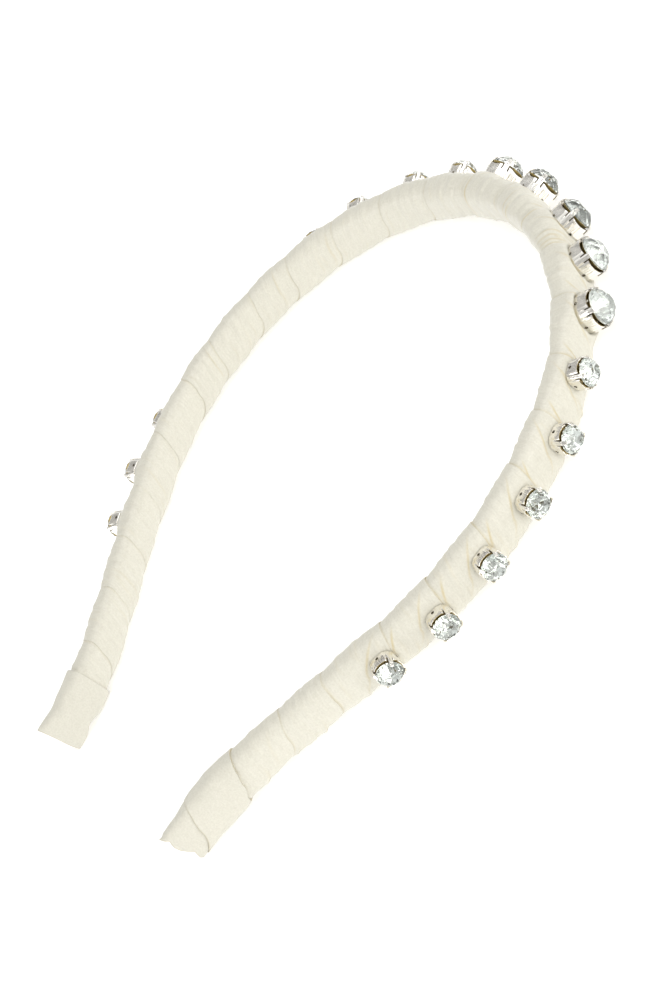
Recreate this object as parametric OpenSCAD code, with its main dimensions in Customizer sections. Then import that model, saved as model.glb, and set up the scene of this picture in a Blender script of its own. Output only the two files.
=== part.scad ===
// Crystal headband: a padded hair band wound with satin ribbon, with a row of round crystals
// in silver claw cups sewn along its outer face. It lies on its side. The crown points along
// +Y, the two tips along -Y, and the band's width stands along Z.

/* [Band] */
// Length of the band along its middle line, tip to tip
band_length = 374; // [340:2:400]
// Width of the padded band under the ribbon, a quarter of the way down each side
band_w = 9.5; // [8:0.1:12]
// Thickness of the padded band under the ribbon at the same place
band_t = 5.2; // [4.5:0.1:7]
// Squareness of the band's oval section, 2 for an ellipse
roundness = 2.8; // [2:0.1:4]

/* [Ribbon] */
// Height of each ribbon edge above the turn that it lies on
ribbon_step = 0.4; // [0.2:0.05:0.6]
// Swell of the padding between two ribbon edges
ribbon_puff = 0.25; // [0:0.05:0.4]
// Distance from the middle of each cup to the ribbon edge under it
edge_offset = 1.3; // [0:0.1:3]
// Distance from the left cuff's edge to where an even band would end
left_cuff_length = 16; // [15.5:0.5:18]
// How much shorter than that the left tip is
left_tip_short = 1.5; // [0:0.1:3]
// Length of the ribbon cuff on the right tip
right_cuff_length = 20; // [19:0.5:22]

/* [Stones] */
// Number of stones along the outer face
stone_count = 21; // [15:2:23]
// Distance between neighbouring stones, which is also the pitch of the ribbon's turns
stone_pitch = 13.1; // [12.6:0.1:13.4]
// Width of a small stone across its girdle
small_stone_d = 5.6; // [5:0.1:6.5]
// Width of a large stone across its girdle
large_stone_d = 7.4; // [6.5:0.1:8.5]
// First large stone, counted from the left tip
first_large = 11; // [1:1:17]
// Last large stone, counted from the left tip
last_large = 15; // [1:1:21]

/* [Cups] */
// Thickness of the cup's sheet metal
sheet_t = 0.3; // [0.25:0.05:0.4]
// Width of a claw
claw_w = 1; // [0.7:0.1:1.4]
// Width of the holes for the sewing thread
thread_hole_d = 0.7; // [0.5:0.1:1]
// Play between a stone and its claws, and between a cup and the ribbon
play = 0.1; // [0.05:0.01:0.2]
// Room between the stone's point and the cup's floor
point_room = 0.35; // [0.2:0.05:0.6]

/* [Hidden] */

// Bend of one half of the band, from the crown to a tip. Share: distance from the crown as a
// share of the half length. Bend: in radians for each metre, negative at the tips, where the
// band flares outwards.
SHARE = 0;
BEND = 1;
bend_table = [
    [0, 18],
    [0.27, 16],
    [0.53, 16.8],
    [0.65, 9.5],
    [0.8, -1.5],
    [1, -26]
];

// Padded section under the ribbon, against band_w and band_t. Share: from -1 at the left tip
// through 0 at the crown to 1 at the right tip.
WIDTH = 1;
THICKNESS = 2;
section_table = [
    [-1, 0.92, 1],
    [-0.75, 0.89, 0.97],
    [-0.4, 1, 1],
    [0, 1.12, 1.12],
    [0.4, 1, 1],
    [0.75, 0.98, 1.03],
    [1, 0.96, 1]
];

// Section of a cuff, in millimetres. Share: from the cuff's edge to the tip.
left_cuff_table = [
    [0, 10.6, 6.6],
    [0.3, 10.6, 6.1],
    [0.6, 10.5, 5.3],
    [0.85, 11.1, 4.2],
    [1, 11.4, 3]
];
right_cuff_table = [
    [0, 10.9, 6.7],
    [0.3, 11.6, 6.8],
    [0.7, 11, 5.4],
    [0.97, 11, 3.6],
    [1, 10.5, 3]
];

// The middle line is walked in short steps from the crown to a tip. Each entry of walk holds
// x, y and the heading in degrees.
HEADING = 2;
half_length = band_length / 2;
walk_step = 2;
walk_count = ceil(half_length / walk_step) + 1;
bend_by_length = [for (row = bend_table) [row[SHARE] * half_length, row[BEND]]];
walk = [for (i = 0, p = [0, 0, 0]; i <= walk_count; p = stepped(p, i), i = i + 1) p];
walk_x = [for (i = [0:walk_count]) [i * walk_step, walk[i][0]]];
walk_y = [for (i = [0:walk_count]) [i * walk_step, walk[i][1]]];
walk_heading = [for (i = [0:walk_count]) [i * walk_step, walk[i][HEADING]]];

function stepped(p, i) =
    let (bend = lookup((i + 0.5) * walk_step, bend_by_length))
    let (turn = bend * walk_step / 1000 * 180 / PI)
    let (middle = p[HEADING] + turn / 2)
    [p[0] + walk_step * cos(middle), p[1] - walk_step * sin(middle), p[HEADING] + turn];

// A place on the band: s runs along the middle line from the crown, positive to the right
// tip, out is measured outwards from the middle line and up along Z.
function side(s) = s < 0 ? -1 : 1;
function heading(s) = lookup(abs(s), walk_heading);
function place(s, out, up) = [
    side(s) * (lookup(abs(s), walk_x) + out * sin(heading(s))),
    lookup(abs(s), walk_y) + out * cos(heading(s)),
    up
];

// Oval section: the outward and the upward reach at an angle that starts on the outer face.
function rounded(c) = sign(c) * pow(abs(c), 2 / roundness);
function column(table, col) = [for (row = table) [row[0], row[col]]];
function padded_w(s) = band_w * lookup(s / half_length, column(section_table, WIDTH));
function padded_t(s) = band_t * lookup(s / half_length, column(section_table, THICKNESS));

// Stones are counted from the left tip, and the middle one sits at the crown. They were sewn
// on by hand: how far each is from its even place, along the band and up, in millimetres.
ALONG = 0;
UP = 1;
sewn_table = [
    [0, 0.8],
    [0, 1.2],
    [0, 0],
    [0, -0.9],
    [0, -0.9],
    [0, -0.9],
    [-1, -0.5],
    [-1.2, 0.3],
    [0.9, 0],
    [0.7, 0],
    [0, 0],
    [-1, 0],
    [0.5, 0],
    [0, 0],
    [0, 0],
    [1.2, 0.7],
    [0.7, -0.4],
    [0.3, 0],
    [0, 0.2],
    [0, -0.7],
    [0, 0.5]
];
middle_stone = (stone_count + 1) / 2;
function is_large(i) = i >= first_large && i <= last_large;
function stone_d(i) = is_large(i) ? large_stone_d : small_stone_d;
function sewn(i) = i <= len(sewn_table) ? sewn_table[i - 1] : [0, 0];
function stone_s(i) = (i - middle_stone) * stone_pitch + sewn(i)[ALONG];
function stone_up(i) = sewn(i)[UP];

// The ribbon's turns are one helix between two flat rings, one at each cuff's edge. Rows run
// along the band, several for each turn, and a row's last column meets the first column of
// the row one turn before. A point that would lie inside a cuff is the ring's own point.
columns = 20;
row_shares = [0, 0.15, 0.36, 0.58, 0.8, 0.97];
rows_per_turn = len(row_shares);
left_edge_s = left_cuff_length - half_length;
left_tip_s = left_tip_short - half_length;
right_edge_s = half_length - right_cuff_length;
turns_left_of_crown = ceil(-(left_edge_s + edge_offset) / stone_pitch);
first_edge = -edge_offset - turns_left_of_crown * stone_pitch;
turn_count = ceil((right_edge_s - first_edge) / stone_pitch) + 1;
row_count = turn_count * rows_per_turn + 1;
// A row this near to a ring is drawn onto it.
ring_reach = 0.2;

// A large cup presses the ribbon flat within this distance of its middle.
pressed_reach = 6;
pressed_up = 3;

function ribbon_rise(share) = ribbon_step * (1 - share) + ribbon_puff * sin(180 * share);
function is_pressed(s, out, up) =
    let (near = [for (i = [first_large:last_large]) if (abs(s - stone_s(i)) < pressed_reach) i])
    out > 0 && abs(up) < pressed_up && len(near) > 0;
function turn_share(s, col) =
    let (turns = (s - first_edge) / stone_pitch + col / columns)
    turns - floor(turns);
function turn_point(s, col, share) =
    let (out = rounded(cos(360 * col / columns)))
    let (up = rounded(sin(360 * col / columns)))
    let (pressed = is_pressed(s, out, up * padded_w(s) / 2))
    let (rise = pressed ? 0 : ribbon_rise(share))
    place(s, (padded_t(s) / 2 + rise) * out, (padded_w(s) / 2 + rise) * up);
function row_share(row) = row_shares[(row + rows_per_turn) % rows_per_turn];
function row_s(row, col) =
    first_edge + stone_pitch * (floor(row / rows_per_turn) + row_share(row) - col / columns);
turn_points = [
    for (row = [0:row_count - 1])
        for (col = [0:columns - 1])
            let (s = max(left_edge_s, min(right_edge_s, row_s(row, col))))
            turn_point(s, col, row_share(row))
];

// A cuff is lofted through flat oval rings, from its edge on the turns to the tip.
cuff_shares = [0, 0.14, 0.28, 0.42, 0.56, 0.7, 0.84, 0.97, 1];
cuff_rings = len(cuff_shares);
function cuff_ring(s, share, table) = [
    for (col = [0:columns - 1])
        let (angle = 360 * col / columns)
        place(
            s,
            lookup(share, column(table, THICKNESS)) / 2 * rounded(cos(angle)),
            lookup(share, column(table, WIDTH)) / 2 * rounded(sin(angle))
        )
];
function turns_ring(s) = [for (col = [0:columns - 1]) turn_point(s, col, turn_share(s, col))];
left_points = concat(
    [
        for (ring = [cuff_rings - 1:-1:0]) each
            let (share = cuff_shares[ring])
            let (s = left_edge_s + (left_tip_s - left_edge_s) * share)
            cuff_ring(s, share, left_cuff_table)
    ],
    turns_ring(left_edge_s)
);
right_points = concat(
    turns_ring(right_edge_s),
    [
        for (share = cuff_shares) each
            cuff_ring(right_edge_s + right_cuff_length * share, share, right_cuff_table)
    ]
);

// The band's points follow each other from the left tip to the right tip.
band_points = concat(left_points, turn_points, right_points);
turns_at = len(left_points);
right_at = turns_at + len(turn_points);
left_ring_at = turns_at - columns;
function turn_index(row, col) =
    col == columns ? turn_index(row - rows_per_turn, 0) :
    row_s(row, col) < left_edge_s + ring_reach ? left_ring_at + col :
    row_s(row, col) > right_edge_s - ring_reach ? right_at + col :
    turns_at + row * columns + col;
function without_repeats(face) = [
    for (i = [0:len(face) - 1]) if (face[i] != face[(i + 1) % len(face)]) face[i]
];
turn_faces = [
    for (row = [0:row_count - 2])
        for (col = [0:columns - 1])
            let (face = without_repeats([
                turn_index(row, col),
                turn_index(row + 1, col),
                turn_index(row + 1, col + 1),
                turn_index(row, col + 1)
            ]))
            if (len(face) > 2) face
];
function loft_faces(first, rings) = [
    for (ring = [0:rings - 2])
        for (col = [0:columns - 1])
            let (a = first + ring * columns + col)
            let (b = first + ring * columns + (col + 1) % columns)
            [a, a + columns, b + columns, b]
];
band_faces = concat(
    [[for (col = [0:columns - 1]) col]],
    loft_faces(0, cuff_rings + 1),
    turn_faces,
    loft_faces(right_at, cuff_rings + 1),
    [[for (col = [1:columns]) len(band_points) - col]]
);

// Reach of the corners of a stone's table, kite facets and lower pavilion, and its heights,
// all as shares of its width
table_reach = 0.26;
kite_reach = 0.4;
lower_reach = 0.24;
crown_share = 0.27;
girdle_share = 0.04;
pavilion_share = 0.45;
// Height of the kite facets' outer corners as a share of the crown's, and of the lower
// corners as a share of the pavilion's
kite_rise = 0.6;
lower_rise = 0.5;
// A cup's base and its rim's distance below the girdle, as shares of the stone's width
base_share = 0.48;
rim_drop_share = 0.05;
// How far the rim stands out past the girdle
rim_flare = 0.15;
function crown_h(d) = crown_share * d;
function girdle_h(d) = girdle_share * d;
function pavilion_h(d) = pavilion_share * d;
// Heights above the underside of the cup
function girdle_foot(d) = sheet_t + point_room + pavilion_h(d);
function girdle_top(d) = girdle_foot(d) + girdle_h(d);
function rim_z(d) = girdle_foot(d) - rim_drop_share * d;
function rim_r(d) = d / 2 + rim_flare;
function claw_r(d) = d / 2 + play + sheet_t;
function cup_base_r(d) = base_share * d;
// A small cup stands on the ribbon's highest ridge, and a large one where it is pressed flat
ridge_h = max([for (share = [0:0.05:1]) ribbon_rise(share)]);
function seat_out(i) = padded_t(stone_s(i)) / 2 + (is_large(i) ? 0 : ridge_h) + play;

// The object is moved so that it lies on z = 0 with its outline centred on the Z axis.
lowest_z = min([for (p = band_points) p[2]]);
rear_y = min([for (p = band_points) p[1]]);
top_d = stone_d(middle_stone);
front_y = seat_out(middle_stone) + girdle_top(top_d) + crown_h(top_d);
to_origin = [0, -(front_y + rear_y) / 2, -lowest_z];

module satin_band() {
    color("ivory")
        translate(to_origin)
            polyhedron(points = band_points, faces = band_faces, convexity = 8);
}

// Puts a cup or a stone, made standing on its own z = 0, on the outer face at stone i.
module on_outer_face(i) {
    s = stone_s(i);
    translate(to_origin + place(s, seat_out(i), stone_up(i)))
        rotate([0, 0, 90 - side(s) * heading(s)])
            rotate([0, 90, 0])
                children();
}

module cup_wall(d) {
    rotate_extrude($fn = 48)
        polygon([
            [0, 0],
            [cup_base_r(d), 0],
            [rim_r(d), rim_z(d)],
            [rim_r(d) - sheet_t, rim_z(d)],
            [cup_base_r(d) - sheet_t, sheet_t],
            [0, sheet_t]
        ]);
}

// A claw stands on the wall and bends over the girdle onto the crown of the stone.
claw_reach = 0.42;
claw_root = 0.1;
module claw(d) {
    shoulder_z = girdle_top(d) + play;
    crown_slope = kite_rise * crown_h(d) / (d / 2 - kite_reach * d);
    tip_r = claw_reach * d;
    tip_z = shoulder_z + (d / 2 - tip_r) * crown_slope;
    rotate([90, 0, 0])
        linear_extrude(height = claw_w, center = true)
            polygon([
                [cup_base_r(d) - claw_root, 0],
                [cup_base_r(d) + claw_root, 0],
                [claw_r(d), rim_z(d)],
                [claw_r(d), shoulder_z + claw_root],
                [tip_r + claw_root, tip_z + sheet_t],
                [tip_r, tip_z],
                [d / 2 + play, shoulder_z],
                [d / 2 + play, rim_z(d)],
                [rim_r(d) - claw_root, rim_z(d) - claw_root]
            ]);
}

module claw_cup(i) {
    d = stone_d(i);
    hole_z = sheet_t + thread_hole_d / 2 + play;
    color("silver")
        on_outer_face(i)
            difference() {
                union() {
                    cup_wall(d);
                    for (turn = [45:90:315])
                        rotate([0, 0, turn])
                            claw(d);
                }
                for (turn = [0, 90])
                    rotate([0, 0, turn])
                        translate([-d, 0, hole_z])
                            rotate([0, 90, 0])
                                cylinder(d = thread_hole_d, h = 2 * d, $fn = 24);
            }
}

// Cut stone. Rings from the table to the culet: reach as a share of the width, height and
// how many points the ring has.
function ring_points(r, z, count, shift) = [
    for (k = [0:count - 1])
        [r * cos(360 / count * (k + shift)), r * sin(360 / count * (k + shift)), z]
];
module cut_stone(d) {
    sides = 8;
    table_at = 0;
    kite_at = sides;
    top_at = 2 * sides;
    foot_at = 4 * sides;
    lower_at = 6 * sides;
    culet_at = 7 * sides;
    points = concat(
        ring_points(table_reach * d, girdle_top(d) + crown_h(d), sides, 0.5),
        ring_points(kite_reach * d, girdle_top(d) + kite_rise * crown_h(d), sides, 0),
        ring_points(d / 2, girdle_top(d), 2 * sides, 0),
        ring_points(d / 2, girdle_foot(d), 2 * sides, 0),
        ring_points(lower_reach * d, girdle_foot(d) - lower_rise * pavilion_h(d), sides, 0.5),
        [[0, 0, girdle_foot(d) - pavilion_h(d)]]
    );
    faces = concat(
        [[for (k = [0:sides - 1]) table_at + sides - 1 - k]],
        [for (k = [0:sides - 1]) each
            let (next = (k + 1) % sides)
            let (before = (k + sides - 1) % sides)
            let (spread = 2 * sides)
            [
                // star, kite and the two girdle facets of the crown
                [table_at + before, table_at + k, kite_at + k],
                [table_at + k, top_at + 2 * k + 1, kite_at + k],
                [table_at + k, kite_at + next, top_at + 2 * k + 1],
                [kite_at + k, top_at + 2 * k + 1, top_at + 2 * k],
                [kite_at + k, top_at + 2 * k, top_at + (2 * k + spread - 1) % spread],
                // girdle
                [top_at + 2 * k, top_at + 2 * k + 1, foot_at + 2 * k + 1, foot_at + 2 * k],
                [
                    top_at + 2 * k + 1,
                    top_at + (2 * k + 2) % spread,
                    foot_at + (2 * k + 2) % spread,
                    foot_at + 2 * k + 1
                ],
                // pavilion: the upper facets, then the long ones down to the culet
                [lower_at + k, foot_at + 2 * k, foot_at + 2 * k + 1],
                [lower_at + k, foot_at + 2 * k + 1, foot_at + (2 * k + 2) % spread],
                [lower_at + before, foot_at + 2 * k, lower_at + k],
                [lower_at + before, lower_at + k, culet_at]
            ]
        ]
    );
    polyhedron(points = points, faces = faces, convexity = 2);
}

module crystal(i) {
    // each stone was set at an angle of its own
    set_angle = 17 * i;
    color("aliceblue")
        on_outer_face(i)
            rotate([0, 0, set_angle])
                cut_stone(stone_d(i));
}

function numbered(name, i) = str(name, i < 10 ? "_0" : "_", i);

satin_band();
for (i = [1:stone_count]) {
    claw_cup(i);
    crystal(i);
}
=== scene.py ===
import math

import bmesh
import bpy
import numpy as np
from mathutils import Matrix, Vector


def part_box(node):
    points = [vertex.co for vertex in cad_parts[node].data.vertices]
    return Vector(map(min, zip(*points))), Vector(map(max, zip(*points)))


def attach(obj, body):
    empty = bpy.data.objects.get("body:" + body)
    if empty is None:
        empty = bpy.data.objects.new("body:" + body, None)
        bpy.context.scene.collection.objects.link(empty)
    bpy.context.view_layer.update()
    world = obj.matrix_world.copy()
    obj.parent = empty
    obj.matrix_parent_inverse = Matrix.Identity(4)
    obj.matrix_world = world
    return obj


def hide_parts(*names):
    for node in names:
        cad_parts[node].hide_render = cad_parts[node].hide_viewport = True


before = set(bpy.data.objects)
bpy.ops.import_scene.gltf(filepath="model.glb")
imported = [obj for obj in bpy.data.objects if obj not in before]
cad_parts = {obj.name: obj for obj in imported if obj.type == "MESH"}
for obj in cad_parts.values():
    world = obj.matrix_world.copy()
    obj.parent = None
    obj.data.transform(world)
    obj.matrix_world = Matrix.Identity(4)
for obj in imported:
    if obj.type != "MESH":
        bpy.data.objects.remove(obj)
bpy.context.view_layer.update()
mm = 0.001
bpy.ops.object.select_all(action="DESELECT")

# Wound satin. One long ivory satin ribbon is wound in slanting turns over a padded band. Each
# turn lies over the edge of the turn before it, nearer the left tip, and is drawn tight, so
# that the edges stand up as thin lines, with soft swells and a few pinched folds between them.
band_length = 374 * mm
half_length = band_length / 2
band_w = 9.5 * mm
band_t = 5.2 * mm
roundness = 2.8
# share of the half length from the crown, and the bend there in radians for each metre
bend_table = [(0, 18), (0.27, 16), (0.53, 16.8), (0.65, 9.5), (0.8, -1.5), (1, -26)]
# share from -1 at the left tip to 1 at the right one, and the width and thickness of the padding
# there against band_w and band_t
section_table = [
    (-1, 0.92, 1),
    (-0.75, 0.89, 0.97),
    (-0.4, 1, 1),
    (0, 1.12, 1.12),
    (0.4, 1, 1),
    (0.75, 0.98, 1.03),
    (1, 0.96, 1),
]
# How the tight ribbon draws that padding, against the same shares: how far up, how much wider on
# each side, and how much thicker on the inner side
drawn_table = [
    (-1, -0.45 * mm, 0 * mm, 0.45 * mm),
    (-0.65, -0.45 * mm, 0 * mm, 0.45 * mm),
    (-0.57, 0 * mm, 0 * mm, 0.35 * mm),
    (-0.35, 0 * mm, 0 * mm, 0.3 * mm),
    (-0.15, 0 * mm, 0 * mm, 0 * mm),
    (0.12, 0 * mm, 0 * mm, 0 * mm),
    (0.2, -0.2 * mm, -0.2 * mm, -0.1 * mm),
    (0.3, -0.15 * mm, -0.5 * mm, -0.2 * mm),
    (0.36, -0.35 * mm, -0.4 * mm, -0.2 * mm),
    (0.42, 0 * mm, -0.05 * mm, 0 * mm),
    (0.65, 0 * mm, 0 * mm, 0 * mm),
    (0.72, 0.35 * mm, 0 * mm, 0.2 * mm),
    (1, 0.4 * mm, 0 * mm, 0.2 * mm),
]
# a turn's step over the next one, its swell in the middle, and how far its edge lies tipwards
ribbon_step = 0.4 * mm
ribbon_puff = 0.25 * mm
edge_offset = 1.3 * mm
# where the cuffs begin and the left tip ends, along the band from the crown
left_edge_s = 16 * mm - half_length
left_tip_s = 1.5 * mm - half_length
right_edge_s = half_length - 20 * mm
# The ribbon is wound at the stones' pitch, and 27 mm of it go once round the band
pitch_in_mm = 13.1
round_in_mm = 27
stone_count = 21
stone_pitch = pitch_in_mm * mm
small_stone_d = 5.6 * mm
large_stone_d = 7.4 * mm
large_stones = range(11, 16)
middle_stone = (stone_count + 1) // 2
# How far each stone was sewn on from its even place, along the band and up, in millimetres
sewn_table = [
    (0, 0.8), (0, 1.2), (0, 0), (0, -0.9), (0, -0.9), (0, -0.9), (-1, -0.5), (-1.2, 0.3),
    (0.9, 0), (0.7, 0), (0, 0), (-1, 0), (0.5, 0), (0, 0), (0, 0), (1.2, 0.7),
    (0.7, -0.4), (0.3, 0), (0, 0.2), (0, -0.7), (0, 0.5),
]
# the gap between a cup and what it touches
play = 0.1 * mm
# A cup's foot: its radius as a share of the stone's width, and how far its corners reach past it
base_share = 0.48
corner_reach = 1.09


def read_table(table, column, shares):
    """A column of a table whose first column is a share, read in between its rows."""
    return np.interp(shares, [row[0] for row in table], [row[column] for row in table])


def rounded(c):
    """Sine or cosine for an oval section that is squarer than an ellipse."""
    return np.sign(c) * np.abs(c) ** (2 / roundness)


def padded_width(s):
    return band_w * read_table(section_table, 1, s / half_length)


def padded_thickness(s):
    return band_t * read_table(section_table, 2, s / half_length)


def drawn_over(s, out, up):
    """Points of the section, out and up from its middle, as the ribbon drew the padding there."""
    share = s / half_length
    wider = 1 + read_table(drawn_table, 2, share) / (padded_width(s) / 2)
    thicker = 1 + read_table(drawn_table, 3, share) / (padded_thickness(s) / 2)
    return np.where(out < 0, out * thicker, out), up * wider + read_table(drawn_table, 1, share)


def plain_rise(share):
    """Height of a turn above the padding, from its visible edge to the next edge."""
    return ribbon_step * (1 - share) + ribbon_puff * np.sin(np.pi * share)


# A small cup stands on the highest ridge of the ribbon and a large one where it is pressed flat
ridge_h = max(plain_rise(np.arange(0, 1.01, 0.05)))


def stone_s(number):
    return (number - middle_stone) * stone_pitch + sewn_table[number - 1][0] * mm


def stone_up(number):
    return sewn_table[number - 1][1] * mm


def stone_width(number):
    return large_stone_d if number in large_stones else small_stone_d


def seat_out(number):
    ridge = 0 if number in large_stones else ridge_h
    return padded_thickness(stone_s(number)) / 2 + ridge + play


# The cup at the crown gives the place of the band's middle line
crown_cup_low, crown_cup_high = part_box(f"claw_cup_{middle_stone:02d}")
crown_y = crown_cup_low.y - seat_out(middle_stone)
middle_z = (crown_cup_low.z + crown_cup_high.z) / 2

# Half of that line, walked from the crown in short steps: x, y and heading at each
walk_step = 2 * mm
walk_count = math.ceil(half_length / walk_step) + 1
walk = [(0.0, 0.0, 0.0)]
for step in range(walk_count):
    x, y, heading = walk[-1]
    bend = read_table(bend_table, 1, (step + 0.5) * walk_step / half_length) * walk_step
    x += walk_step * math.cos(heading + bend / 2)
    y -= walk_step * math.sin(heading + bend / 2)
    walk.append((x, y, heading + bend))
walk_x, walk_y, walk_heading = np.array(walk).T
walk_s = np.arange(walk_count + 1) * walk_step


def on_band(s, out, up):
    """Where a point of the straight band lies on the bent one: s along it, out and up from it."""
    x = np.interp(np.abs(s), walk_s, walk_x)
    y = np.interp(np.abs(s), walk_s, walk_y)
    heading = np.interp(np.abs(s), walk_s, walk_heading)
    side = np.where(s < 0, -1, 1)
    across = side * (x + out * np.sin(heading))
    return np.stack([across, crown_y + y + out * np.cos(heading), middle_z + up], axis=-1)


def mesh_points(piece):
    """The mesh's points as an array with a row for each."""
    points = np.empty(len(piece.data.vertices) * 3)
    piece.data.vertices.foreach_get("co", points)
    return points.reshape(-1, 3)


def move_points(piece, points):
    piece.data.vertices.foreach_set("co", points.ravel())
    piece.data.update()


def flat_ribbon(name, length_faces, width_faces):
    """A flat strip of ribbon, with the place of each point along it and across it."""
    bpy.ops.object.select_all(action="DESELECT")
    bpy.ops.mesh.primitive_grid_add(
        x_subdivisions=length_faces, y_subdivisions=width_faces, size=1
    )
    ribbon = bpy.context.object
    ribbon.name = name
    ribbon.data.name = name
    spread = mesh_points(ribbon)[:, :2] + 0.5
    places = np.rint(spread * (length_faces, width_faces)).astype(int)
    return ribbon, places[:, 0], places[:, 1]


def even_angles(columns):
    """Angles whose points lie evenly round the padded oval, from the outer face upwards."""
    fine = np.linspace(0, 2 * np.pi, 3601)
    out = band_t / 2 * rounded(np.cos(fine))
    up = band_w / 2 * rounded(np.sin(fine))
    walked = np.insert(np.cumsum(np.hypot(np.diff(out), np.diff(up))), 0, 0)
    return np.interp(np.linspace(0, walked[-1], columns + 1), walked, fine)


# The flat ribbon's faces: columns in one turn round the band, and rows across a turn
columns = 72
face_rows = 42
# The rolled edge of a turn: reach along the band past the edge, and share of the step's height
lip = [(0.24 * mm, -0.1), (0.05 * mm, 0.1), (-0.04 * mm, 0.5), (0.02 * mm, 0.85), (0.16 * mm, 1)]
first_turn = -14
last_turn = 14
turn_count = last_turn - first_turn
rows = len(lip) + face_rows
ribbon, along, across = flat_ribbon("satin_winding", turn_count * columns, rows)

angles = even_angles(columns)
whole_turns, column = np.divmod(along, columns)
column = (columns - column) % columns
angle = angles[column]
# turn counts on along the ribbon: a whole number is the middle of the outer face
turn = first_turn + whole_turns + np.where(column > 0, 1, 0) - angle / (2 * np.pi)
last_row = across == rows
turn = np.where(last_row, turn + 1, turn)
row = np.where(last_row, 0, across)
on_lip = row < len(lip)
lip_row = np.minimum(row, len(lip) - 1)
lip_reach = np.array([reach for reach, height in lip])[lip_row]
lip_height = np.array([height for reach, height in lip])[lip_row]
face_shares = np.linspace(0.025, 0.988, face_rows)
share = np.where(on_lip, 0, face_shares[np.clip(row - len(lip), 0, face_rows - 1)])


def waver(turn, size, phase):
    """A slow, uneven wandering along the ribbon, about as large as size each way."""
    wave = np.sin(2.3 * turn + phase) + 0.7 * np.sin(5.1 * turn + 2.1 * phase)
    return size * 0.6 * (wave + 0.4 * np.sin(9.7 * turn + 3.7 * phase))


# How the turns were laid: a turn, how far its edge is from its even place along the band, and
# how much of the edge's height shows
laid_table = [
    (-12.4, -1.6 * mm, 0.3),
    (-10.4, -1.45 * mm, 0.12),
    (-9.4, -1.4 * mm, 0.12),
    (-8.35, -1 * mm, 0.3),
    (-7.45, 0.75 * mm, 0.4),
    (-6.4, -2.6 * mm, 0.35),
    (-5.4, -1.25 * mm, 0.4),
    (-4.4, -2.3 * mm, 0.45),
    (-3.4, -1.25 * mm, 0.5),
    (-2.4, 0.15 * mm, 0.5),
    (-1.35, 1.5 * mm, 0.85),
    (-0.4, 1.45 * mm, 1.3),
    (0.65, 2.15 * mm, 1.5),
    (1.8, 0.4 * mm, 1.3),
    (2.8, -0.3 * mm, 1.1),
    (3.8, 1.4 * mm, 1),
    (4.8, 2 * mm, 1),
    (5.8, 1.4 * mm, 0.7),
    (6.8, 0.3 * mm, 0.8),
    (7.85, 0.75 * mm, 0.7),
    (8.9, 1.1 * mm, 0.7),
    (9.85, 0.4 * mm, 0.6),
    (10.8, 2.6 * mm, 0.35),
    (11.8, 0.7 * mm, 0.35),
    (12.8, 5 * mm, 0.2),
]


def edge_s(turn):
    """Where the edge of a turn lies along the band. It runs nearly straight over the upper side
    and makes up its way on the lower one."""
    sway = 1.67 * mm * np.sin(2 * np.pi * turn + 1.31)
    laid = read_table(laid_table, 1, turn) - sway
    return stone_pitch * turn - edge_offset + laid + waver(turn, 0.2 * mm, 1.3)


def share_of_turn(turn, s):
    """Where a place along the band lies between the edge of a turn and the next edge."""
    return (s - edge_s(turn)) / (edge_s(turn + 1) - edge_s(turn))


def soft_step(x):
    """Rises smoothly from 0 to 1 as x does."""
    x = np.clip(x, 0, 1)
    return x * x * (3 - 2 * x)


s = edge_s(turn) * (1 - share) + edge_s(turn + 1) * share + np.where(on_lip, lip_reach, 0)
shown = read_table(laid_table, 2, turn)
step_here = ribbon_step * shown + waver(turn, 0.05 * mm, 0.4)
# The turns swell a little more than in the solid, and most of all over the crown
more_puff = 0.06 * mm
crown_puff = 0.2 * mm
puff_here = ribbon_puff + more_puff + waver(turn, 0.08 * mm, 4.2)
puff_here += crown_puff * np.exp(-(((turn - 0.7) / 1.2) ** 2))
rise = step_here * (1 - share) + puff_here * np.sin(np.pi * share)
rise = np.where(on_lip, step_here * lip_height, rise)
# The painted ochre shade of an edge lies on the edge itself and on the ribbon just beneath it,
# and it comes and goes along the ribbon
beneath = 0.7 * soft_step((share - 0.95) / 0.04)
patchy = 0.68 + 0.32 * np.sin(17 * turn + 2.5 * np.sin(4.7 * turn))
lip_shaded = lip_row < 3
painted_shade = patchy * shown * np.where(on_lip, np.where(lip_shaded, 1.0, 0.0), beneath)

# Folds pinched into the ribbon as it was wound: the turn and the share where the fold's middle
# lies, how its share changes with each turn, half its length in turns, its height, and how strong
# the painted ochre shade along its line is
fold_table = [
    (-0.38, 0.07, 0, 0.28, 0.1 * mm, 1),
    (0.6, 0.3, 0, 0.28, 0.18 * mm, 1),
    (0.58, 0.42, 0.1, 0.2, 0.14 * mm, 0.7),
    (1.66, 0.07, 0, 0.3, 0.14 * mm, 1),
    (1.85, 0.68, 0, 0.25, 0.2 * mm, 0.7),
    (1.85, 0.79, 0, 0.28, 0.26 * mm, 0.7),
    (1.85, 0.9, 0, 0.28, 0.26 * mm, 0.7),
    (-4.45, 0.86, 0, 0.2, 0.18 * mm, 0.4),
    (-5.42, 0.64, 0, 0.22, 0.2 * mm, 0.4),
    (-7.42, 0.8, 0, 0.22, 0.2 * mm, 0.4),
    (-0.4, 0.88, 0, 0.2, 0.18 * mm, 0.4),
    (-9.45, 0.3, 0.2, 0.25, 0.14 * mm, 0.2),
    (-11.45, 0.35, -0.2, 0.25, 0.14 * mm, 0.2),
    (7.8, 0.6, 0.3, 0.25, 0.14 * mm, 0.2),
]
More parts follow.
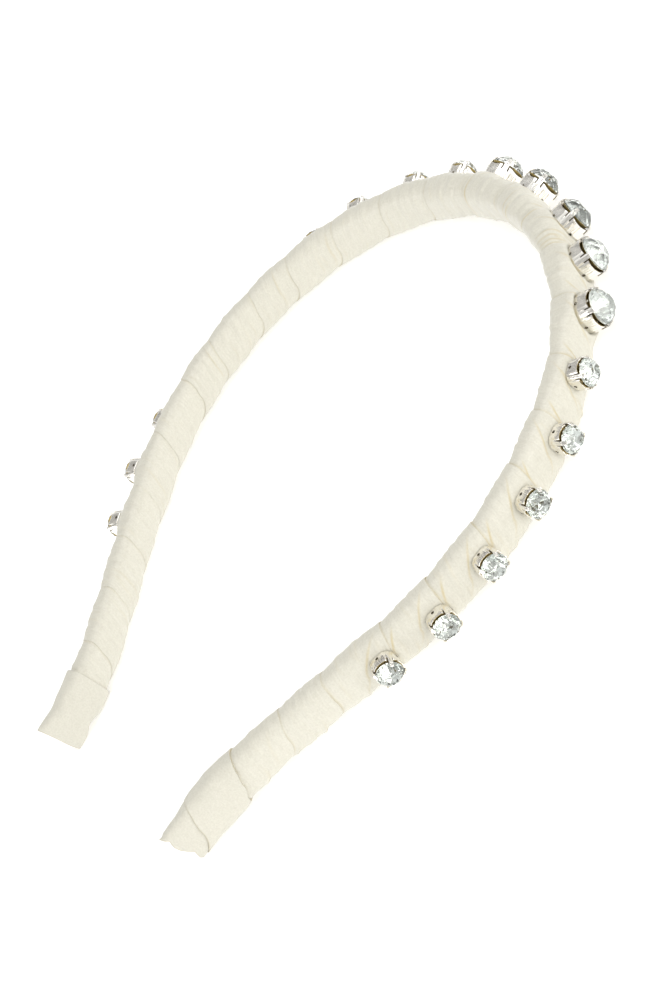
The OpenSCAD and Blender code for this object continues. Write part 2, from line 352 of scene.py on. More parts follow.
# Each cup, where it is sewn down, pulls one fold on its tip side and one on its crown side
for number in range(1, stone_count + 1):
    place = number - middle_stone
    base_r = base_share * stone_width(number)
    tipwards = share_of_turn(place - 0.08, stone_s(number) + 0.75 * base_r)
    crownwards = share_of_turn(place - 1.06, stone_s(number) - base_r - 1.1 * mm)
    fold_table.append((place - 0.08, tipwards, 1.4, 0.2, 0.2 * mm, 0.8))
    fold_table.append((place - 1.06, crownwards, 0.9, 0.14, 0.26 * mm, 1))
# Small folds of slack, most of them beside the edges, and gathers on the lower outer side, all
# with a faint painted shade
slack_creases = 190
gathers = 120
chance = np.random.default_rng(11)
for number in range(slack_creases):
    beside = chance.choice([(0.04, 0.3), (0.3, 0.75), (0.75, 0.95)])
    fold_table.append((
        chance.uniform(first_turn + 1, last_turn - 1),
        chance.uniform(*beside),
        chance.uniform(-0.4, 0.4),
        chance.uniform(0.05, 0.18),
        chance.uniform(0.03, 0.12) * mm,
        0.12,
    ))
for number in range(gathers):
    fold_table.append((
        chance.integers(first_turn + 1, last_turn - 1) + chance.uniform(0.06, 0.2),
        chance.uniform(0.05, 0.95),
        chance.uniform(-0.3, 0.3),
        chance.uniform(0.08, 0.14),
        chance.uniform(0.1, 0.28) * mm,
        0.25,
    ))
# how steeply a fold rises to its line and falls behind it, and how wide its painted shade is
fold_ramp = 0.022
fold_fall = 0.09
fold_line = 0.018
for fold_turn, fold_share, slant, half_span, height, painted_ochre_shade in fold_table:
    past = share - fold_share - slant * (turn - fold_turn)
    fade = soft_step(1 - np.abs(turn - fold_turn) / half_span)
    ramp = np.clip(1 + past / fold_ramp, 0, 1) * np.exp(-np.maximum(past, 0) / fold_fall)
    rise += np.where(on_lip, 0, height * fade * ramp)
    # a painted shade along the fold's line
    shade = painted_ochre_shade * fade * np.exp(-((past / fold_line) ** 2))
    painted_shade = np.maximum(painted_shade, np.where(on_lip, 0, shade))

# Slack in the satin between the folds, drawn out along the ribbon
slack_h = 0.07 * mm
length_way = turn * round_in_mm
width_way = share * pitch_in_mm
slack = np.sin(1.9 * width_way + 0.35 * length_way + 1.5 * np.sin(0.23 * length_way))
slack += 0.6 * np.sin(3.3 * width_way - 0.21 * length_way + 2 * np.sin(0.31 * length_way + 1))
rise += np.where(on_lip, 0, slack_h * slack * np.sin(np.pi * share))

# Each cup is sewn on through the ribbon: the satin is pressed flat under it, swells up round its
# foot and is drawn into fine pleats that point at it.
out = (padded_thickness(s) / 2 + rise) * rounded(np.cos(angle))
up = (padded_width(s) / 2 + rise) * rounded(np.sin(angle))
out, up = drawn_over(s, out, up)
outer = np.cos(angle) > 0
foot_gap = 0.02 * mm
foot_slope = 0.38 * mm
swell_start = 0.4 * mm
swell_reach = 1.1 * mm
pleat_h = 0.04 * mm
large_sink = 0.95 * mm
small_sink = 0.1 * mm
for number in range(1, stone_count + 1):
    large = number in large_stones
    base_r = base_share * stone_width(number)
    from_cup = np.hypot(s - stone_s(number), up - stone_up(number))
    round_cup = np.arctan2(up - stone_up(number), s - stone_s(number))
    corner = 1 / np.maximum(np.abs(np.cos(round_cup)), np.abs(np.sin(round_cup)))
    past_foot = from_cup - base_r * np.minimum(corner, corner_reach)
    under = 1 - soft_step((past_foot + foot_gap) / foot_slope)
    past_swell = np.maximum(past_foot - swell_start, 0)
    swell = (1 - under) * np.exp(-((past_swell / swell_reach) ** 2))
    pleats = np.sin(13 * round_cup + 2 * np.sin(3 * round_cup + number)) * swell
    pressed_out = seat_out(number) - play - foot_gap
    # a large cup sinks in all round, a small one only between its neighbours
    if large:
        drawn_up = np.maximum(pressed_out + large_sink - out, 0)
    else:
        drawn_up = np.maximum(pressed_out + small_sink - out, 0) * np.cos(round_cup) ** 2
    lifted = np.maximum(pressed_out - out, 0) * (1 if large else 0.8)
    pressed = np.minimum(pressed_out - out, 0)
    drawn = under * (pressed + lifted) + 0.9 * swell * drawn_up + pleat_h * pleats
    out += np.where(outer, drawn, 0)
    # the faint painted shade round the foot
    at_foot = np.exp(-(((past_foot - 0.3 * mm) / (0.2 * mm)) ** 2))
    painted_shade = np.maximum(painted_shade, np.where(outer, 0.08 * at_foot, 0))

# The band rests on its lower side, where the floor presses the satin flat
floor_gap = 0.01 * mm
up = np.maximum(up, floor_gap - middle_z)

move_points(ribbon, np.stack([s, out, up], axis=-1))
# painted ochre shade of the edges, folds and cups' feet, kept on the points for the satin's colour
painted_shade_layer = ribbon.data.attributes.new("painted_shade", "FLOAT", "POINT")
painted_shade_layer.data.foreach_set("value", painted_shade)

# Close the wound tube, cut it straight inside the two cuffs, and bend it as the band is bent
same_point = 0.001 * mm
bpy.ops.object.mode_set(mode="EDIT")
bpy.ops.mesh.select_all(action="SELECT")
bpy.ops.mesh.remove_doubles(threshold=same_point)
for end_s, outwards in ((left_edge_s - 2 * mm, -1), (right_edge_s + 6 * mm, 1)):
    bpy.ops.mesh.select_all(action="SELECT")
    bpy.ops.mesh.bisect(
        plane_co=(end_s, 0, 0), plane_no=(outwards, 0, 0), use_fill=True, clear_outer=True
    )
bpy.ops.mesh.select_all(action="SELECT")
bpy.ops.mesh.normals_make_consistent(inside=False)
bpy.ops.object.mode_set(mode="OBJECT")
move_points(ribbon, on_band(*mesh_points(ribbon).T))
bpy.ops.object.shade_smooth()


def new_material(name, colour, roughness):
    """A material with its shader, nodes and links, ready for the rest of its pattern."""
    made = bpy.data.materials.new(name)
    made.use_nodes = True
    made.diffuse_color = (*colour, 1)
    nodes = made.node_tree.nodes
    shader = nodes["Principled BSDF"]
    shader.inputs["Base Color"].default_value = (*colour, 1)
    shader.inputs["Roughness"].default_value = roughness
    return made, nodes, made.node_tree.links, shader


# Ivory satin: a close weave drawn out along the ribbon, its streaks partly painted sheen, a little
# cloudy, and painted ochre shade along the glued edges of the turns, on the folds and round the
# cups' feet.
satin, nodes, links, shader = new_material("ivory_satin", (0.64, 0.61, 0.54), 0.34)
shader.inputs["Sheen Weight"].default_value = 0.25
shader.inputs["Sheen Roughness"].default_value = 0.4
place = nodes.new("ShaderNodeTexCoord")
thread_place = nodes.new("ShaderNodeMapping")
thread_place.inputs["Scale"].default_value = (turn_count * round_in_mm, pitch_in_mm, 1)
links.new(place.outputs["UV"], thread_place.inputs["Vector"])
drawn_out = nodes.new("ShaderNodeMapping")
drawn_out.inputs["Scale"].default_value = (0.3, 3, 1)
links.new(thread_place.outputs["Vector"], drawn_out.inputs["Vector"])
rib_and_sheen = nodes.new("ShaderNodeTexNoise")
rib_and_sheen.inputs["Scale"].default_value = 1
rib_and_sheen.inputs["Detail"].default_value = 3
rib_and_sheen.inputs["Roughness"].default_value = 0.6
links.new(drawn_out.outputs["Vector"], rib_and_sheen.inputs["Vector"])
cloud = nodes.new("ShaderNodeTexNoise")
cloud.inputs["Scale"].default_value = 2500
cloud.inputs["Detail"].default_value = 3
cloud.inputs["Roughness"].default_value = 0.72
links.new(place.outputs["Object"], cloud.inputs["Vector"])
# the tone goes lighter and darker along the weave's streaks, partly grain and partly painted
# sheen, and in small clouds
tone = nodes.new("ShaderNodeMix")
tone.data_type = "RGBA"
tone.inputs["A"].default_value = (0.485, 0.466, 0.386, 1)
tone.inputs["B"].default_value = (0.825, 0.809, 0.729, 1)
weave_sheen_and_cloud = nodes.new("ShaderNodeMath")
weave_sheen_and_cloud.operation = "MULTIPLY_ADD"
weave_sheen_and_cloud.inputs[1].default_value = 0.35
links.new(rib_and_sheen.outputs["Fac"], weave_sheen_and_cloud.inputs[0])
cloud_much = nodes.new("ShaderNodeMath")
cloud_much.operation = "MULTIPLY"
cloud_much.inputs[1].default_value = 0.65
links.new(cloud.outputs["Fac"], cloud_much.inputs[0])
links.new(cloud_much.outputs[0], weave_sheen_and_cloud.inputs[2])
links.new(weave_sheen_and_cloud.outputs[0], tone.inputs["Factor"])
# the painted ochre shade mixed into the satin's colour
painted_shade_read = nodes.new("ShaderNodeAttribute")
painted_shade_read.attribute_name = "painted_shade"
painted_shade_much = nodes.new("ShaderNodeMath")
painted_shade_much.operation = "MULTIPLY"
painted_shade_much.inputs[1].default_value = 0.85
links.new(painted_shade_read.outputs["Fac"], painted_shade_much.inputs[0])
painted_shade_mix = nodes.new("ShaderNodeMix")
painted_shade_mix.data_type = "RGBA"
painted_shade_mix.inputs["B"].default_value = (0.56, 0.46, 0.23, 1)
links.new(painted_shade_much.outputs[0], painted_shade_mix.inputs["Factor"])
links.new(tone.outputs["Result"], painted_shade_mix.inputs["A"])
links.new(painted_shade_mix.outputs["Result"], shader.inputs["Base Color"])
rib_bump = nodes.new("ShaderNodeBump")
rib_bump.inputs["Strength"].default_value = 0.7
rib_bump.inputs["Distance"].default_value = 0.12 * mm
links.new(rib_and_sheen.outputs["Fac"], rib_bump.inputs["Height"])
cloud_bump = nodes.new("ShaderNodeBump")
cloud_bump.inputs["Strength"].default_value = 0.3
cloud_bump.inputs["Distance"].default_value = 0.1 * mm
links.new(cloud.outputs["Fac"], cloud_bump.inputs["Height"])
links.new(rib_bump.outputs["Normal"], cloud_bump.inputs["Normal"])
links.new(cloud_bump.outputs["Normal"], shader.inputs["Normal"])
ribbon.data.materials.append(satin)

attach(ribbon, "root")
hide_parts("satin_band")

# Ribbon cuffs. At each tip the end of the ribbon is wrapped once more round the band and glued
# down. The left cuff ends in a pressed flat hem. On the right one the wrap ends in a slanting
# edge, and the loose, wavy end of the ribbon sticks out from under it.

# The cuffs' sections: share of the cuff from its edge to the tip, width and thickness
left_cuff_table = [
    (0, 10.6 * mm, 6.6 * mm),
    (0.3, 10.6 * mm, 6.1 * mm),
    (0.6, 10.5 * mm, 5.3 * mm),
    (0.85, 11.1 * mm, 4.2 * mm),
    (1, 11.4 * mm, 3 * mm),
]
right_cuff_table = [
    (0, 10.5 * mm, 6.5 * mm),
    (0.1, 10.9 * mm, 6.7 * mm),
    (0.3, 11.6 * mm, 6.8 * mm),
    (0.7, 11 * mm, 5.4 * mm),
    (0.97, 11 * mm, 3.6 * mm),
    (1, 10.5 * mm, 3 * mm),
]
cuff_columns = 96
cuff_rows = 60
# The edge that faces the turns: reach along the band, and height against the full section
cuff_lip = [
    (0.5 * mm, -0.5 * mm),
    (0.05 * mm, -0.4 * mm),
    (-0.06 * mm, -0.2 * mm),
    (0.03 * mm, -0.04 * mm),
]
# The end that faces the tip: how far back from it, and the share of the full section there
folded_hem = [(0.0, 0.93), (0.3 * mm, 0.8), (0.9 * mm, 0.72)]
cut_edge = [(0.0, 0.975), (0.05 * mm, 0.94), (0.5 * mm, 0.88)]


def round_the_band(table, angle):
    """A distance that changes round the band, from rows of an angle in degrees and a distance."""
    angles = [row[0] for row in table]
    distances = [row[1] for row in table]
    return np.interp(np.degrees(angle), angles, distances, period=360)


def ribbon_cuff(
    name, edge, end, whole, table, shifts, closing, drawn_in=0, curl=0, waist=0, tucked=0
):
    """A closed wrap of ribbon from its edge to its end. The shares in its table run over the whole
    cuff, and the shifts say how far the edge and the end lie towards the tip, round the band."""
    rows = len(cuff_lip) + cuff_rows + len(closing)
    cuff, around, down = flat_ribbon(name, cuff_columns, rows)
    angle = even_angles(cuff_columns)[around % cuff_columns]
    tipwards = 1 if end > edge else -1
    share = np.clip(down - len(cuff_lip), 0, cuff_rows) / cuff_rows
    on_lip = down < len(cuff_lip)
    lip_row = np.minimum(down, len(cuff_lip) - 1)
    in_hem = down > len(cuff_lip) + cuff_rows
    hem_row = np.clip(down - len(cuff_lip) - cuff_rows - 1, 0, len(closing) - 1)
    reach = np.where(on_lip, np.array([r for r, h in cuff_lip])[lip_row], 0)
    stand = np.where(on_lip, np.array([h for r, h in cuff_lip])[lip_row], 0) - drawn_in
    back = np.where(in_hem, np.array([b for b, f in closing])[hem_row], 0)
    shrink = np.where(in_hem, np.array([f for b, f in closing])[hem_row], 1)
    edge_shift, end_shift = shifts
    along = share * abs(end - edge) + reach - back
    along += round_the_band(edge_shift, angle) * (1 - share) ** 2
    along += round_the_band(end_shift, angle) * share**3
    s = edge + tipwards * along
    cuff_share = (s - whole[0]) / (whole[1] - whole[0])
    soft = 0.07 * mm * np.sin(3 * angle + 9 * share) * np.sin(np.pi * share)
    soft += 0.04 * mm * np.sin(7 * angle - 16 * share + 1) * np.sin(np.pi * share)
    nipped = waist * (0.65 - 0.35 * np.sin(angle)) * np.exp(-(((share - 0.55) / 0.14) ** 2))
    nipped += tucked * (1 - share) ** 6 * (1 - np.sin(angle)) / 2
    curled = curl * share**8 * np.exp(-(((np.degrees(angle) - 105) / 22) ** 2))
    out = (read_table(table, 2, cuff_share) / 2 + stand + soft) * rounded(np.cos(angle)) * shrink
    half_width = read_table(table, 1, cuff_share) / 2 + stand + soft - nipped
    up = half_width * rounded(np.sin(angle)) * np.sqrt(shrink)
    out, up = drawn_over(s, out, up)
    move_points(cuff, np.stack([s, out - curled, up + curled], axis=-1))
    # painted ochre shade along the cuff's edge and at its end
    painted_shade_layer = cuff.data.attributes.new("painted_shade", "FLOAT", "POINT")
    at_edge = on_lip & (lip_row < 3)
    at_end = share > 0.985
    painted_shade_layer.data.foreach_set("value", np.where(at_edge, 0.7, np.where(at_end, 0.4, 0.0)))
    bpy.ops.object.mode_set(mode="EDIT")
    bpy.ops.mesh.select_all(action="SELECT")
    bpy.ops.mesh.remove_doubles(threshold=same_point)
    bpy.ops.mesh.select_all(action="DESELECT")
    bpy.ops.mesh.select_non_manifold(extend=False)
    bpy.ops.mesh.fill_holes(sides=0)
    bpy.ops.mesh.select_all(action="SELECT")
    bpy.ops.mesh.normals_make_consistent(inside=False)
    bpy.ops.object.mode_set(mode="OBJECT")
    move_points(cuff, on_band(*mesh_points(cuff).T))
    bpy.ops.object.shade_smooth()
    cuff.data.materials.append(satin)
    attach(cuff, "root")
    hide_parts("satin_band")


# Angles are counted from the outer face over the top: 90 is the upper edge, 180 the inner face
straight_edge = [(0, 0 * mm), (90, -0.3 * mm), (180, 0.2 * mm), (270, 0.3 * mm)]
slanting_hem = [
    (0, -0.6 * mm), (90, 0.1 * mm), (140, -0.2 * mm), (180, -0.5 * mm), (270, -1.3 * mm),
]
wound_edge = [
    (0, 2 * mm), (25, 0.8 * mm), (60, 0 * mm), (120, -1 * mm), (180, -1.2 * mm), (230, 1.2 * mm),
    (270, 3.8 * mm), (310, 4.4 * mm), (338, 3.6 * mm),
]
flap_edge = [
    (2, 2 * mm), (40, 0.5 * mm), (117, -1.2 * mm), (180, -2.4 * mm), (235, 0 * mm),
    (270, 4.4 * mm), (285, 5.2 * mm), (310, 4.6 * mm),
]
wavy_end = [
    (5, 0.5 * mm), (25, 0.6 * mm), (52, 0 * mm), (75, 0.5 * mm), (105, 0.8 * mm), (140, 0 * mm),
    (180, -0.6 * mm), (225, -1.2 * mm), (270, -1.5 * mm), (290, -1 * mm), (315, -0.2 * mm),
    (332, -0.4 * mm), (348, -0.7 * mm),
]
left_cuff = (left_edge_s, left_tip_s)
right_cuff = (right_edge_s, half_length)
wrap_end_s = half_length - 7 * mm
loose_start_s = half_length - 12 * mm
ribbon_cuff(
    "left_ribbon_cuff", left_edge_s, left_tip_s, left_cuff, left_cuff_table,
    (straight_edge, slanting_hem), folded_hem, waist=0.9 * mm,
)
ribbon_cuff(
    "right_ribbon_cuff", right_edge_s, wrap_end_s, right_cuff, right_cuff_table,
    (wound_edge, flap_edge), cut_edge, tucked=0.4 * mm,
)
ribbon_cuff(
    "loose_ribbon_end", loose_start_s, half_length, right_cuff, right_cuff_table,
    (straight_edge, wavy_end), folded_hem, drawn_in=0.2 * mm, curl=0.35 * mm,
)

# Claw cups. Each stone sits in a stamped cup of thin brass sheet, plated silver outside, with
# four flat panels, a thread hole in each, and at every corner a raised claw, cut free beside the
# stone and bent over it. Between the claws the rim is lower than the stone's edge.
sheet_t = 0.3 * mm
# the room under the stone's point
point_room = 0.35 * mm
thread_hole_d = 0.7 * mm
cup_sides = 96
claw_half_columns = 2
# As shares of the stone's width: its pointed underside, its girdle, and how far the rim lies
# below the girdle
pavilion_share = 0.45
girdle_share = 0.04
rim_drop_share = 0.05
# How far a column of the wall stands out, counted from the middle of the claw to past its side
rib_profile = [0.1 * mm, 0.13 * mm, 0.09 * mm, -0.07 * mm]


def panelled(radius, angle):
    """Radius of a cup with four flat panels, whose middles are on X and Y, and round corners."""
    flat = radius / max(abs(math.cos(angle)), abs(math.sin(angle)))
    return min(flat, corner_reach * radius)


def stone_heights(d):
    """Heights above the cup's underside of the girdle's foot and top, from the width d."""
    foot = sheet_t + point_room + pavilion_share * d
    return foot, foot + girdle_share * d


def claw_cup(name, d):
    """One cup standing on z = 0 round the Z axis, as it was stamped and closed."""
    base_r = base_share * d
    girdle_foot, girdle_top = stone_heights(d)
    rim_z = girdle_foot - rim_drop_share * d
    rim_r = d / 2 + 0.04 * mm
    claw_r = d / 2 + play + sheet_t
    column_angle = 2 * math.pi / cup_sides

    def columns_from_corner(place):
        """How many columns of the wall a point lies from the claw at its corner."""
        angle = math.atan2(place.y, place.x) % (math.pi / 2) - math.pi / 4
        return angle / column_angle

    bpy.ops.object.select_all(action="DESELECT")
    bpy.ops.mesh.primitive_circle_add(vertices=cup_sides, radius=base_r, fill_type="NGON")
    cup = bpy.context.object
    cup.name = name
    cup.data.name = name
    bpy.ops.object.mode_set(mode="EDIT")
    work = bmesh.from_edit_mesh(cup.data)
    bpy.ops.mesh.select_all(action="DESELECT")
    for edge in work.edges:
        edge.select = True
    # wall, from the rounded foot to the rim: height, radius and share of the claws' relief
    slit_foot_z = rim_z * 0.7
    wall = [
        (0.0, base_r * 0.95, 0),
        (0.1 * mm, base_r * 0.99, 0.5),
        (0.3 * mm, base_r, 1),
        (rim_z * 0.35, base_r + (rim_r - base_r) * 0.4, 1),
        (slit_foot_z, base_r + (rim_r - base_r) * 0.75, 1),
        (rim_z, rim_r, 1),
    ]
    rim_dip = 0.38 * mm
    for level, (height, radius, relief) in enumerate(wall):
        if level > 0:
            bpy.ops.mesh.extrude_region_move()
        for point in work.verts:
            if point.select:
                angle = math.atan2(point.co.y, point.co.x)
                column = round(abs(columns_from_corner(point.co)))
                raised = rib_profile[column] * relief if column < len(rib_profile) else 0
                corner = abs(math.sin(2 * angle))
                dip = rim_dip * (1 - corner**2) if level == len(wall) - 1 else 0
                reach = panelled(radius, angle) + raised
                point.co = (reach * math.cos(angle), reach * math.sin(angle), height - dip)
        bmesh.update_edit_mesh(cup.data)

    # slits beside the claws, cut down from the rim
    slit_faces = []
    for face in work.faces:
        middle = face.calc_center_median()
        away = abs(columns_from_corner(middle))
        if middle.z > slit_foot_z and claw_half_columns < away < claw_half_columns + 1:
            slit_faces.append(face)
    bmesh.ops.delete(work, geom=slit_faces, context="FACES")
    # claws: height, radius and width of each bend, following the stone's crown
    crown_slope = 1.62
    skin_out = 0.32 * mm
    skin_up = 0.2 * mm
    claw = [
        (girdle_foot, claw_r, 1.0),
        (girdle_top + play, claw_r, 0.95),
        (girdle_top + skin_up + 0.01 * d * crown_slope, 0.49 * d + skin_out, 0.9),
        (girdle_top + skin_up + 0.045 * d * crown_slope, 0.455 * d + skin_out, 0.8),
        (girdle_top + skin_up + 0.08 * d * crown_slope, 0.42 * d + skin_out, 0.6),
    ]
    bpy.ops.mesh.select_all(action="DESELECT")
    for edge in work.edges:
        ends = [abs(columns_from_corner(point.co)) for point in edge.verts]
        lowest = min(point.co.z for point in edge.verts)
        if lowest > rim_z - 0.12 * mm and max(ends) < claw_half_columns + 0.1:
            edge.select = True
    for height, radius, breadth in claw:
        bpy.ops.mesh.extrude_region_move()
        for point in work.verts:
            if point.select:
                corner = math.floor(math.atan2(point.co.y, point.co.x) / (math.pi / 2))
                corner = (corner + 0.5) * math.pi / 2
                aside = columns_from_corner(point.co)
                aside = math.copysign(min(round(abs(aside)), claw_half_columns), aside)
                sideways = aside * column_angle * claw_r * breadth
                away = Vector((math.cos(corner), math.sin(corner), 0))
                tangent = Vector((-math.sin(corner), math.cos(corner), 0))
                point.co = away * radius + tangent * sideways + Vector((0, 0, height))
        bmesh.update_edit_mesh(cup.data)
    bpy.ops.mesh.select_all(action="SELECT")
    bpy.ops.mesh.normals_make_consistent(inside=False)
    lowest = min(work.faces, key=lambda face: face.calc_center_median().z)
    if lowest.normal.z > 0:
        bpy.ops.mesh.flip_normals()
    bpy.ops.object.mode_set(mode="OBJECT")
    return cup


def finish_cup(cup, d):
    """Gives the stamped sheet its thickness, soft edges and thread holes."""
    finishes = [
        ("SOLIDIFY", {"thickness": sheet_t, "offset": -1, "material_offset": 1}),
        ("BEVEL", {"width": 0.05 * mm, "segments": 2, "limit_method": "ANGLE"}),
    ]
    for kind, settings in finishes:
        bpy.ops.object.modifier_add(type=kind)
        for setting, value in settings.items():
            setattr(cup.modifiers[-1], setting, value)
        bpy.ops.object.modifier_apply(modifier=cup.modifiers[-1].name)
    hole_z = sheet_t + thread_hole_d / 2 + play
    for turned in ((math.pi / 2, 0, 0), (0, math.pi / 2, 0)):
        bpy.ops.mesh.primitive_cylinder_add(
            vertices=20, radius=thread_hole_d / 2, depth=2 * d, location=(0, 0, hole_z),
            rotation=turned,
        )
        drill = bpy.context.object
        bpy.context.view_layer.objects.active = cup
        hole = cup.modifiers.new("hole", "BOOLEAN")
        hole.object = drill
        bpy.ops.object.modifier_apply(modifier=hole.name)
        bpy.data.objects.remove(drill)
    bpy.ops.object.select_all(action="DESELECT")
    cup.select_set(True)
    bpy.ops.object.shade_smooth_by_angle(angle=math.radians(35))


# Silver plate: bright, with streaks up the walls where the sheet was drawn into its cup
silver, nodes, links, shader = new_material("silver_plate", (0.94, 0.92, 0.87), 0.16)
shader.inputs["Metallic"].default_value = 1
place = nodes.new("ShaderNodeAttribute")
place.attribute_name = "drawn"
wear = nodes.new("ShaderNodeTexNoise")
wear.inputs["Scale"].default_value = 1900
wear.inputs["Detail"].default_value = 3
links.new(place.outputs["Vector"], wear.inputs["Vector"])
wear_range = nodes.new("ShaderNodeMapRange")
wear_range.inputs["To Min"].default_value = 0.06
wear_range.inputs["To Max"].default_value = 0.2
links.new(wear.outputs["Fac"], wear_range.inputs["Value"])
links.new(wear_range.outputs["Result"], shader.inputs["Roughness"])
dents = nodes.new("ShaderNodeBump")
dents.inputs["Strength"].default_value = 1
dents.inputs["Distance"].default_value = 0.18 * mm
links.new(wear.outputs["Fac"], dents.inputs["Height"])
links.new(dents.outputs["Normal"], shader.inputs["Normal"])

# Raw brass inside the cup and on its cut edges, dark where the plating doesn't reach
brass, nodes, links, shader = new_material("raw_brass", (0.3, 0.22, 0.1), 0.35)
shader.inputs["Metallic"].default_value = 1
place = nodes.new("ShaderNodeTexCoord")
stain = nodes.new("ShaderNodeTexNoise")
stain.inputs["Scale"].default_value = 900
links.new(place.outputs["Object"], stain.inputs["Vector"])
stain_tone = nodes.new("ShaderNodeMix")
stain_tone.data_type = "RGBA"
stain_tone.inputs["A"].default_value = (0.12, 0.08, 0.035, 1)
stain_tone.inputs["B"].default_value = (0.42, 0.33, 0.16, 1)
links.new(stain.outputs["Fac"], stain_tone.inputs["Factor"])
links.new(stain_tone.outputs["Result"], shader.inputs["Base Color"])

# One cup of each size, with its streaks drawn out up the walls
cup_patterns = {}
for name, d in (("small_cup", small_stone_d), ("large_cup", large_stone_d)):
    cup = claw_cup(name, d)
    cup.data.materials.append(silver)
    cup.data.materials.append(brass)
    finish_cup(cup, d)
    drawn = cup.data.attributes.new("drawn", "FLOAT_VECTOR", "POINT")
    drawn.data.foreach_set("vector", (mesh_points(cup) * (1, 1, 0.12)).ravel())
    cup_patterns[d] = cup


def outer_face_frame(number):
    """Turns and moves a thing made standing on z = 0 to its stone's place on the band."""
    s = stone_s(number)
    heading = float(np.interp(abs(s), walk_s, walk_heading))
    facing = math.pi / 2 - math.copysign(heading, s)
    place = Vector(on_band(s, seat_out(number), stone_up(number)))
    turned = Matrix.Rotation(facing, 4, "Z") @ Matrix.Rotation(math.pi / 2, 4, "Y")
    return Matrix.Translation(place) @ turned


for number in range(1, stone_count + 1):
    pattern = cup_patterns[stone_width(number)]
    cup = bpy.data.objects.new(f"plated_cup_{number:02d}", pattern.data.copy())
    bpy.context.scene.collection.objects.link(cup)
    cup.data.transform(outer_face_frame(number))
    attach(cup, "root")
    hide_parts(f"claw_cup_{number:02d}")
for pattern in cup_patterns.values():
    bpy.data.objects.remove(pattern)

# Crystals. Each stone is clear cut glass with a table, star, kite and girdle facets. Its pointed
# underside is coated with silver foil, which throws the light back through the crown, and the
# foil is covered with a brass coloured lacquer that shows as a line above the cup's rim.
glass, nodes, links, shader = new_material("clear_crystal", (0.95, 0.975, 0.965), 0.0)
shader.inputs["Transmission Weight"].default_value = 1
shader.inputs["IOR"].default_value = 1.5
foils = {}
for d, size_name, softness in ((small_stone_d, "small", 0.12), (large_stone_d, "large", 0.25)):
    foils[d], nodes, links, shader = new_material(f"{size_name}_foil", (0.8, 0.825, 0.8), softness)
    shader.inputs["Metallic"].default_value = 1
lacquer, nodes, links, shader = new_material("foil_lacquer", (0.45, 0.35, 0.13), 0.35)
shader.inputs["Metallic"].default_value = 0.7
lacquer_gap = 0.01 * mm
lacquer_t = 0.03 * mm
same_corner = 0.005 * mm
# a facet is foiled where it faces this far back, against the way the stone faces
foiled_facing = -0.2
for number in range(1, stone_count + 1):
    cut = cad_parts[f"crystal_{number:02d}"]
    stone = bpy.data.objects.new(f"cut_stone_{number:02d}", cut.data.copy())
    bpy.context.scene.collection.objects.link(stone)
    bpy.ops.object.select_all(action="DESELECT")
    bpy.context.view_layer.objects.active = stone
    stone.select_set(True)
    stone.data.materials.clear()
    for finish in (glass, foils[stone_width(number)], lacquer):
        stone.data.materials.append(finish)
    outwards = outer_face_frame(number).to_3x3() @ Vector((0, 0, 1))
    work = bmesh.new()
    work.from_mesh(stone.data)
    bmesh.ops.remove_doubles(work, verts=work.verts, dist=same_corner)
    bmesh.ops.dissolve_limit(
        work, angle_limit=math.radians(1), verts=work.verts, edges=work.edges
    )
    for face in work.faces:
        face.smooth = False
        face.material_index = 1 if face.normal.dot(outwards) < foiled_facing else 0
    foiled = [face for face in work.faces if face.material_index == 1]
    coated = bmesh.ops.duplicate(work, geom=foiled)["geom"]
    coat = [item for item in coated if isinstance(item, bmesh.types.BMFace)]
    for face in coat:
        face.material_index = 2
        face.normal_update()
    for point in {point for face in coat for point in face.verts}:
        point.normal_update()
        point.co += point.normal * lacquer_gap
    bmesh.ops.solidify(work, geom=coat, thickness=-lacquer_t)
    work.to_mesh(stone.data)
    work.free()
    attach(stone, "root")
    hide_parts(f"crystal_{number:02d}")

# Stage. The band lies on a plain pale floor under soft studio light, in a pale room that the
# silver and the stones reflect, and the camera looks at it from the photograph's angle.
bpy.ops.mesh.primitive_plane_add(size=8)
floor = bpy.context.object
floor.name = "pale_floor"
floor_paint, nodes, links, shader = new_material("pale_floor", (0.93, 0.93, 0.93), 0.9)
shader.inputs["Emission Color"].default_value = (1, 1, 1, 1)
shader.inputs["Emission Strength"].default_value = 0.35
floor.data.materials.append(floor_paint)

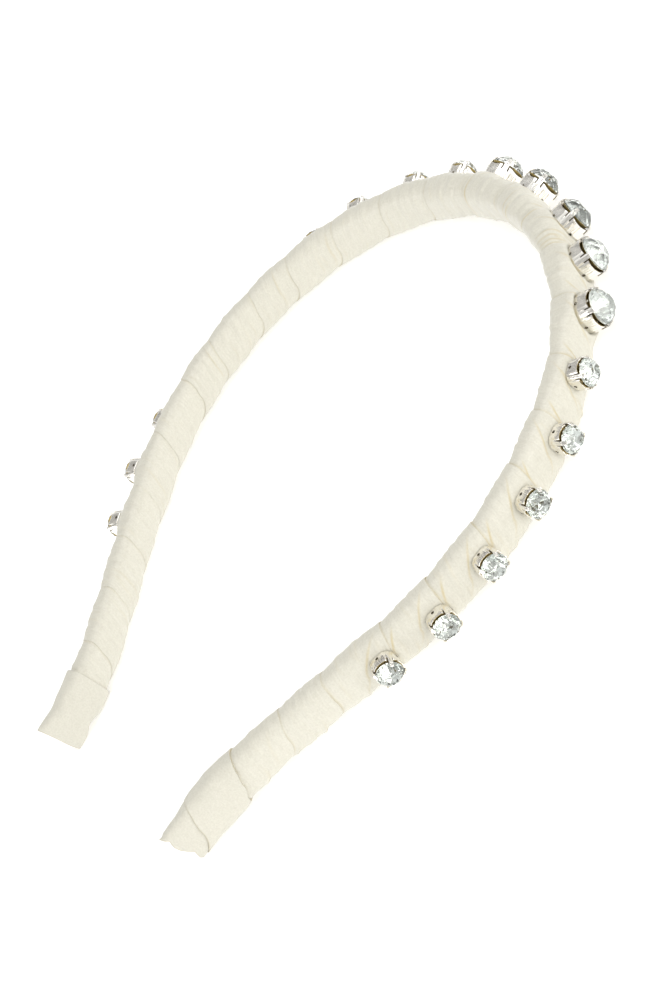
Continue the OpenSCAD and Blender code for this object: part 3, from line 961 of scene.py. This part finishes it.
# The room: pale low down, with two dark lines across it and a grey ceiling, pale overhead
world = bpy.data.worlds.new("studio")
bpy.context.scene.world = world
world.use_nodes = True
nodes = world.node_tree.nodes
links = world.node_tree.links
facing = nodes.new("ShaderNodeTexCoord")
height = nodes.new("ShaderNodeSeparateXYZ")
links.new(facing.outputs["Generated"], height.inputs["Vector"])
room = nodes.new("ShaderNodeValToRGB")
room.color_ramp.elements[0].position = 0.25
room.color_ramp.elements[0].color = (0.95, 0.95, 0.94, 1)
room.color_ramp.elements[1].position = 0.9
room.color_ramp.elements[1].color = (0.93, 0.93, 0.92, 1)
room_table = [
    (0.36, 0.8), (0.4, 0.05), (0.44, 0.62), (0.53, 0.72), (0.56, 0.06), (0.6, 0.06), (0.63, 0.66),
    (0.76, 0.46),
]
for place, shade in room_table:
    band = room.color_ramp.elements.new(place)
    band.color = (shade, 0.98 * shade, 0.94 * shade, 1)
links.new(height.outputs["Z"], room.inputs["Fac"])
links.new(room.outputs["Color"], nodes["Background"].inputs["Color"])


def softbox(name, place, aim, size, power, colour=(1, 1, 1)):
    """A square softbox at a place, turned to face its aim."""
    light = bpy.data.lights.new(name, "AREA")
    light.size = size
    light.energy = power
    light.color = colour
    box = bpy.data.objects.new(name, light)
    bpy.context.scene.collection.objects.link(box)
    box.location = place
    box.rotation_euler = (Vector(aim) - Vector(place)).to_track_quat("-Z", "Y").to_euler()


softbox("key_light", (1.05, 0.15, 0.4), (0, 0, 0), 0.9, 5.3, (1, 0.975, 0.925))
softbox("top_light", (0.05, 0.5, 0.8), (0, 0.05, 0), 0.8, 2.7)
softbox("front_light", (-0.2, -2, 0.5), (0, 0, 0), 1.5, 13)

camera = bpy.data.cameras.new("camera")
camera_object = bpy.data.objects.new("camera", camera)
bpy.context.scene.collection.objects.link(camera_object)
bpy.context.scene.camera = camera_object
camera.sensor_width = 36
camera.lens = 75.4
camera.clip_start = 0.02
camera_place = (0.3569, -0.048, 0.2525)
azimuth = math.radians(82.93)
elevation = math.radians(35.03)
roll = math.radians(-53.79)
camera_object.matrix_world = (
    Matrix.Translation(camera_place)
    @ Matrix.Rotation(azimuth, 4, "Z")
    @ Matrix.Rotation(math.pi / 2 - elevation, 4, "X")
    @ Matrix.Rotation(roll, 4, "Z")
)
bpy.context.scene.view_settings.view_transform = "Standard"
